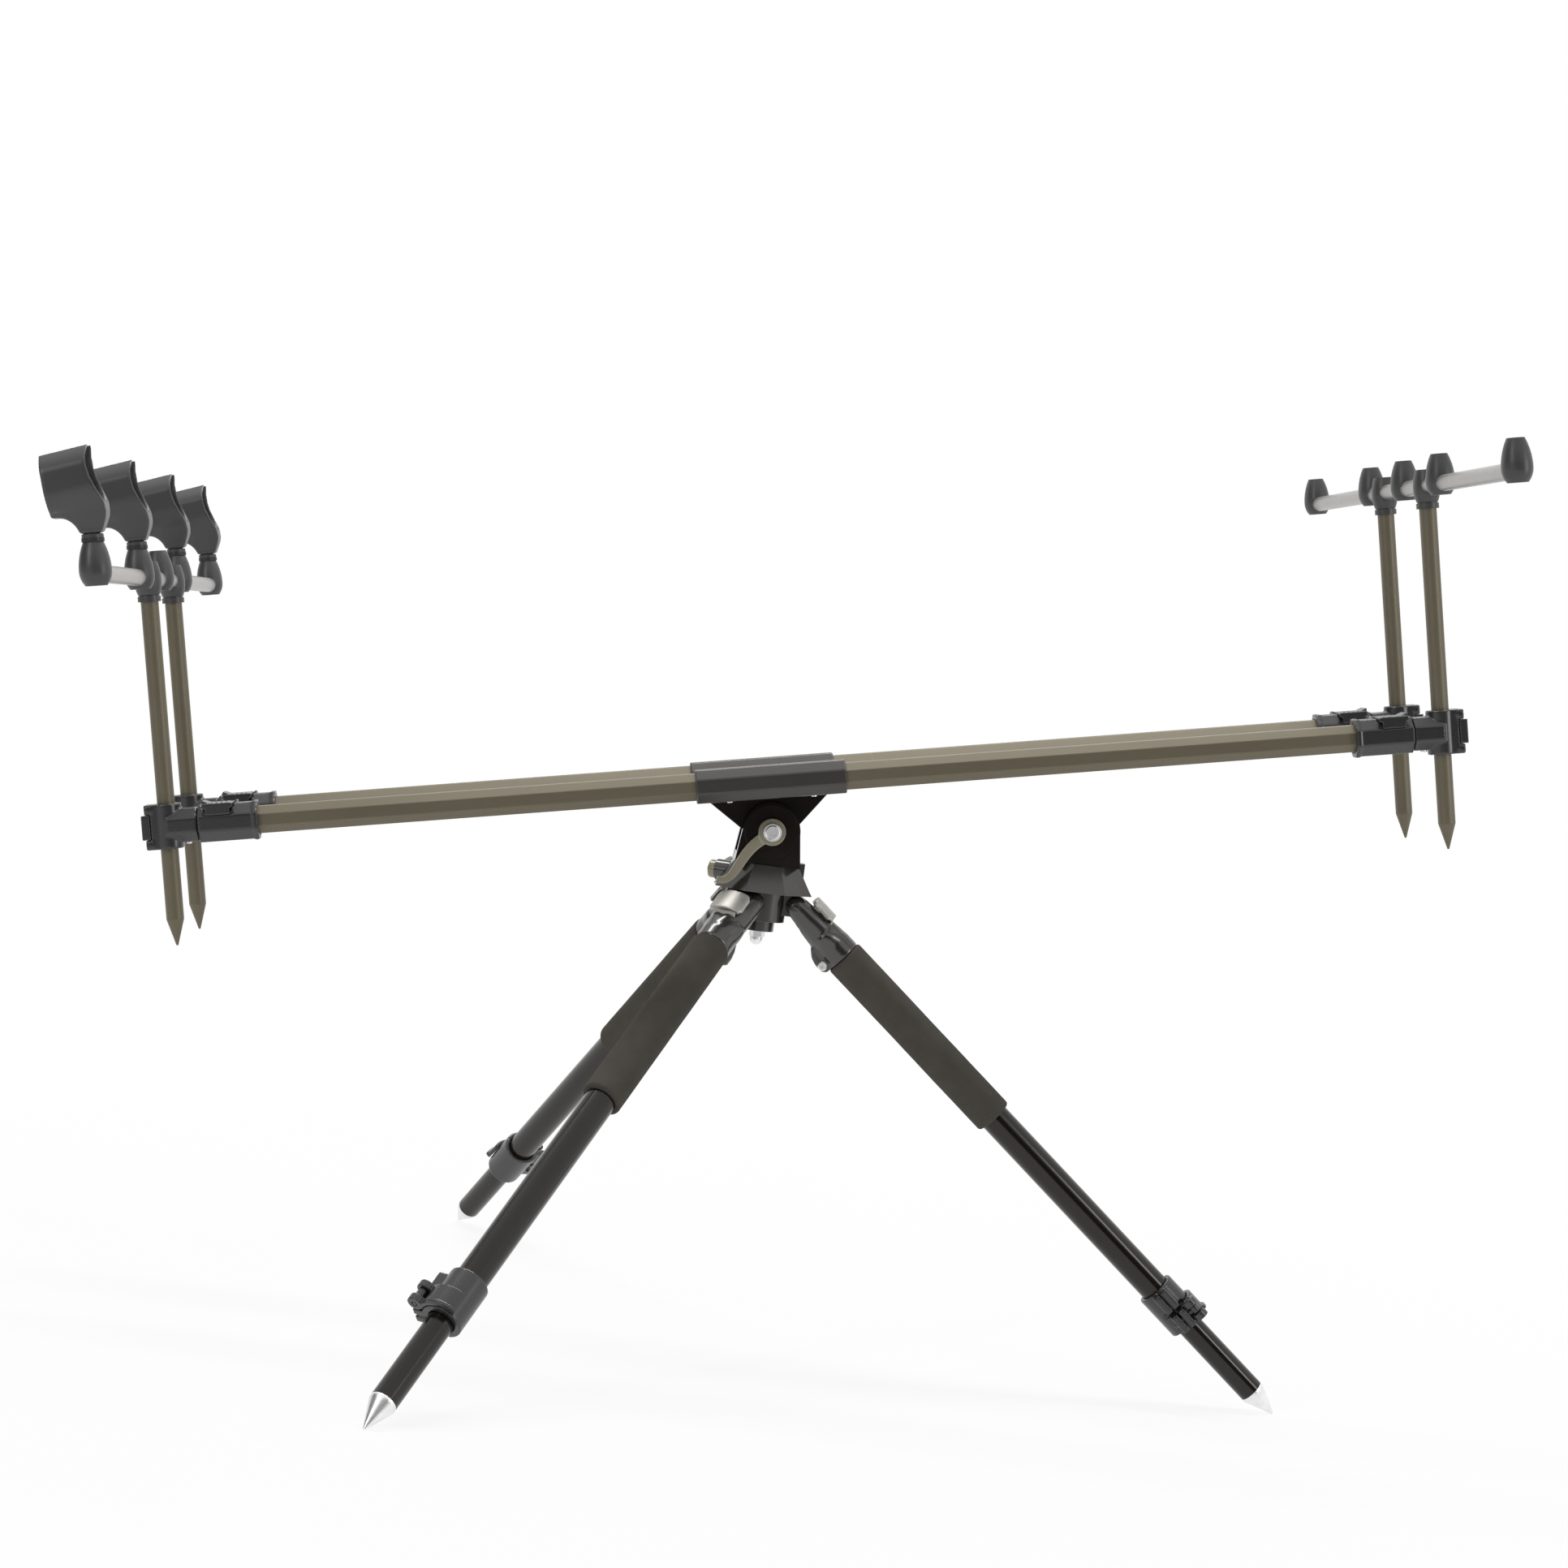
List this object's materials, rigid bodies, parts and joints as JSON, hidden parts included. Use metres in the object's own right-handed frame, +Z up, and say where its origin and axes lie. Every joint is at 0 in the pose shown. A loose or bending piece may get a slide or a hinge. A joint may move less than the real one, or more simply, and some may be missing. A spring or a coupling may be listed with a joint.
{
  "type": "rod pod",
  "caption": "Tripod rod pod with a tilting head, twin telescopic beams, screw-in bars with sockets at both ends and butt rests.",
  "frame": {"origin": "centre of the object's footprint on the ground, level with the spike tips", "axes": "+X along the beams towards the front bar, +Y to the left side, +Z up"},
  "size_m": [1.276, 0.9458, 0.9163],
  "materials": {
    "tube_khaki": "satin khaki anodised tube",
    "casting_black": "satin black painted die casting",
    "tube_black": "gloss black anodised tube",
    "plastic_dark": "matte dark grey moulded plastic",
    "sleeve_anthracite": "satin anthracite anodised extrusion",
    "lever_khaki": "satin khaki painted lever",
    "metal_bright": "bright zinc-plated steel",
    "alu_satin": "satin bare aluminium",
    "tab_cast": "as-cast aluminium",
    "foam_dark": "matte dark foam rubber",
    "rubber_dark": "semi-matte dark grey moulded rubber-like plastic"
  },
  "bodies": {
    "spider": {"spider_hub": "casting_black", "centre_bolt": "metal_bright", "leg_pivot_pins": "casting_black"},
    "pan_lever": {"pan_lever": "lever_khaki"},
    "head": {"head_skirt": "casting_black", "pan_fork": "casting_black", "tilt_bolt": "metal_bright"},
    "tilt_lever": {"tilt_lever": "lever_khaki"},
    "beams": {"cradle_lug": "casting_black", "beam_sleeves": "sleeve_anthracite", "main_beams": "tube_khaki", "beam_collars": "plastic_dark"},
    "front_carriage": {"front_brackets": "plastic_dark", "front_extension_tubes": "tube_khaki"},
    "rear_carriage": {"rear_brackets": "plastic_dark", "rear_extension_tubes": "tube_khaki"},
    "front_rests": {"front_sticks": "tube_khaki", "front_bar": "alu_satin", "front_bar_sockets": "plastic_dark"},
    "rear_rests": {"rear_sticks": "tube_khaki", "rear_bar": "alu_satin", "rear_bar_sockets": "plastic_dark", "lock_rings": "plastic_dark"},
    "front_right_collar_lever": {"collar_lever_front_right": "plastic_dark"},
    "front_right_stick_lever": {"stick_lever_front_right": "plastic_dark"},
    "rear_right_collar_lever": {"collar_lever_rear_right": "plastic_dark"},
    "rear_right_stick_lever": {"stick_lever_rear_right": "plastic_dark"},
    "front_left_collar_lever": {"collar_lever_front_left": "plastic_dark"},
    "front_left_stick_lever": {"stick_lever_front_left": "plastic_dark"},
    "rear_left_collar_lever": {"collar_lever_rear_left": "plastic_dark"},
    "rear_left_stick_lever": {"stick_lever_rear_left": "plastic_dark"},
    "butt_rest_1": {"butt_rest_1": "rubber_dark"},
    "butt_rest_2": {"butt_rest_2": "rubber_dark"},
    "butt_rest_3": {"butt_rest_3": "rubber_dark"},
    "butt_rest_4": {"butt_rest_4": "rubber_dark"},
    "leg_1": {"leg_casting_1": "casting_black", "leg_tube_1": "tube_black", "foam_grip_1": "foam_dark", "leg_clamp_1": "plastic_dark"},
    "foot_1": {"inner_tube_1": "tube_black", "ground_spike_1": "alu_satin"},
    "clamp_lever_1": {"clamp_lever_1": "plastic_dark"},
    "angle_tab_1": {"angle_tab_1": "tab_cast"},
    "leg_2": {"leg_casting_2": "casting_black", "leg_tube_2": "tube_black", "foam_grip_2": "foam_dark", "leg_clamp_2": "plastic_dark"},
    "foot_2": {"inner_tube_2": "tube_black", "ground_spike_2": "alu_satin"},
    "clamp_lever_2": {"clamp_lever_2": "plastic_dark"},
    "angle_tab_2": {"angle_tab_2": "tab_cast"},
    "leg_3": {"leg_casting_3": "casting_black", "leg_tube_3": "tube_black", "foam_grip_3": "foam_dark", "leg_clamp_3": "plastic_dark"},
    "foot_3": {"inner_tube_3": "tube_black", "ground_spike_3": "alu_satin"},
    "clamp_lever_3": {"clamp_lever_3": "plastic_dark"},
    "angle_tab_3": {"angle_tab_3": "tab_cast"}
  },
  "joints": [
    {"name": "pan", "type": "hinge", "parent": "spider", "child": "head", "pos_m": [0.01139, -0.0095, 0.49295], "axis": [0, 0, 1], "continuous": true},
    {"name": "pan_lock", "type": "hinge", "parent": "head", "child": "pan_lever", "pos_m": [-0.03211, 0.01078, 0.44845], "axis": [0.9063, -0.4226, 0], "range_deg": [0, 50]},
    {"name": "tilt", "type": "hinge", "parent": "head", "child": "beams", "pos_m": [0.01139, -0.0095, 0.49295], "axis": [0, 1, 0], "range_deg": [-18, 36]},
    {"name": "tilt_lock", "type": "hinge", "parent": "head", "child": "tilt_lever", "pos_m": [0.01139, -0.0095, 0.49295], "axis": [0, 1, 0], "range_deg": [0, 45]},
    {"name": "front_extension", "type": "slide", "parent": "beams", "child": "front_carriage", "axis": [0.9803, 0, 0.1977], "range_m": [0, 0.32]},
    {"name": "rear_extension", "type": "slide", "parent": "beams", "child": "rear_carriage", "axis": [-0.9803, 0, -0.1977], "range_m": [0, 0.32]},
    {"name": "front_height", "type": "slide", "parent": "front_carriage", "child": "front_rests", "axis": [-0.1977, 0, 0.9803], "range_m": [-0.15, 0.06]},
    {"name": "rear_height", "type": "slide", "parent": "rear_carriage", "child": "rear_rests", "axis": [-0.1977, 0, 0.9803], "range_m": [-0.15, 0.06]},
    {"name": "front_right_collar_lock", "type": "hinge", "parent": "beams", "child": "front_right_collar_lever", "pos_m": [0.56459, -0.0793, 0.67111], "axis": [-0.9803, 0, -0.1977], "range_deg": [0, 70]},
    {"name": "front_right_stick_lock", "type": "hinge", "parent": "front_carriage", "child": "front_right_stick_lever", "pos_m": [0.62819, -0.0819, 0.66782], "axis": [-0.1977, 0, 0.9803], "range_deg": [0, 75]},
    {"name": "rear_right_collar_lock", "type": "hinge", "parent": "beams", "child": "rear_right_collar_lever", "pos_m": [-0.49509, -0.0793, 0.45744], "axis": [-0.9803, 0, -0.1977], "range_deg": [0, 70]},
    {"name": "rear_right_stick_lock", "type": "hinge", "parent": "rear_carriage", "child": "rear_right_stick_lever", "pos_m": [-0.55245, -0.0819, 0.42976], "axis": [0.1977, 0, -0.9803], "range_deg": [0, 75]},
    {"name": "front_left_collar_lock", "type": "hinge", "parent": "beams", "child": "front_left_collar_lever", "pos_m": [0.56459, 0.0827, 0.67111], "axis": [-0.9803, 0, -0.1977], "range_deg": [0, 70]},
    {"name": "front_left_stick_lock", "type": "hinge", "parent": "front_carriage", "child": "front_left_stick_lever", "pos_m": [0.62819, 0.0801, 0.66782], "axis": [-0.1977, 0, 0.9803], "range_deg": [0, 75]},
    {"name": "rear_left_collar_lock", "type": "hinge", "parent": "beams", "child": "rear_left_collar_lever", "pos_m": [-0.49509, 0.0827, 0.45744], "axis": [-0.9803, 0, -0.1977], "range_deg": [0, 70]},
    {"name": "rear_left_stick_lock", "type": "hinge", "parent": "rear_carriage", "child": "rear_left_stick_lever", "pos_m": [-0.55245, 0.0801, 0.42976], "axis": [0.1977, 0, -0.9803], "range_deg": [0, 75]},
    {"name": "butt_rest_turn_1", "type": "hinge", "parent": "rear_rests", "child": "butt_rest_1", "pos_m": [-0.58735, -0.3905, 0.67979], "axis": [-0.1977, 0, 0.9803], "continuous": true},
    {"name": "butt_rest_turn_2", "type": "hinge", "parent": "rear_rests", "child": "butt_rest_2", "pos_m": [-0.58735, -0.1415, 0.67979], "axis": [-0.1977, 0, 0.9803], "continuous": true},
    {"name": "butt_rest_turn_3", "type": "hinge", "parent": "rear_rests", "child": "butt_rest_3", "pos_m": [-0.58735, 0.1225, 0.67979], "axis": [-0.1977, 0, 0.9803], "continuous": true},
    {"name": "butt_rest_turn_4", "type": "hinge", "parent": "rear_rests", "child": "butt_rest_4", "pos_m": [-0.58735, 0.3715, 0.67979], "axis": [-0.1977, 0, 0.9803], "continuous": true},
    {"name": "leg_fold_1", "type": "hinge", "parent": "spider", "child": "leg_1", "pos_m": [0.04437, -0.01065, 0.42475], "axis": [0.0349, 0.9994, 0], "range_deg": [0, 41]},
    {"name": "leg_length_1", "type": "slide", "parent": "leg_1", "child": "foot_1", "axis": [0.77, -0.0269, -0.6374], "range_m": [-0.105, 0.25]},
    {"name": "leg_clamp_lock_1", "type": "hinge", "parent": "leg_1", "child": "clamp_lever_1", "pos_m": [0.45525, -0.04702, 0.10373], "axis": [0.77, -0.0269, -0.6374], "range_deg": [0, 100]},
    {"name": "angle_tab_release_1", "type": "hinge", "parent": "leg_1", "child": "angle_tab_1", "pos_m": [0.07659, -0.01178, 0.4143], "axis": [0.0349, 0.9994, 0], "range_deg": [0, 18], "stiffness_Nm_per_rad": 0.3, "springref_deg": -5.73},
    {"name": "leg_fold_2", "type": "hinge", "parent": "spider", "child": "leg_2", "pos_m": [-0.00411, 0.01963, 0.42475], "axis": [-0.8829, -0.4695, 0], "range_deg": [0, 41]},
    {"name": "leg_length_2", "type": "slide", "parent": "leg_2", "child": "foot_2", "axis": [-0.3617, 0.6803, -0.6374], "range_m": [-0.105, 0.25]},
    {"name": "leg_clamp_lock_2", "type": "hinge", "parent": "leg_2", "child": "clamp_lever_2", "pos_m": [-0.17805, 0.39365, 0.10373], "axis": [-0.3617, 0.6803, -0.6374], "range_deg": [0, 100]},
    {"name": "angle_tab_release_2", "type": "hinge", "parent": "leg_2", "child": "angle_tab_2", "pos_m": [-0.01924, 0.0481, 0.4143], "axis": [-0.8829, -0.4695, 0], "range_deg": [0, 18], "stiffness_Nm_per_rad": 0.3, "springref_deg": -5.73},
    {"name": "leg_fold_3", "type": "hinge", "parent": "spider", "child": "leg_3", "pos_m": [-0.0061, -0.03749, 0.42475], "axis": [0.848, -0.5299, 0], "range_deg": [0, 41]},
    {"name": "leg_length_3", "type": "slide", "parent": "leg_3", "child": "foot_3", "axis": [-0.4083, -0.6534, -0.6374], "range_m": [-0.105, 0.25]},
    {"name": "leg_clamp_lock_3", "type": "hinge", "parent": "leg_3", "child": "clamp_lever_3", "pos_m": [-0.24303, -0.37514, 0.10373], "axis": [-0.4083, -0.6534, -0.6374], "range_deg": [0, 100]},
    {"name": "angle_tab_release_3", "type": "hinge", "parent": "leg_3", "child": "angle_tab_3", "pos_m": [-0.02318, -0.06483, 0.4143], "axis": [0.848, -0.5299, 0], "range_deg": [0, 18], "stiffness_Nm_per_rad": 0.3, "springref_deg": -5.73}
  ]
}
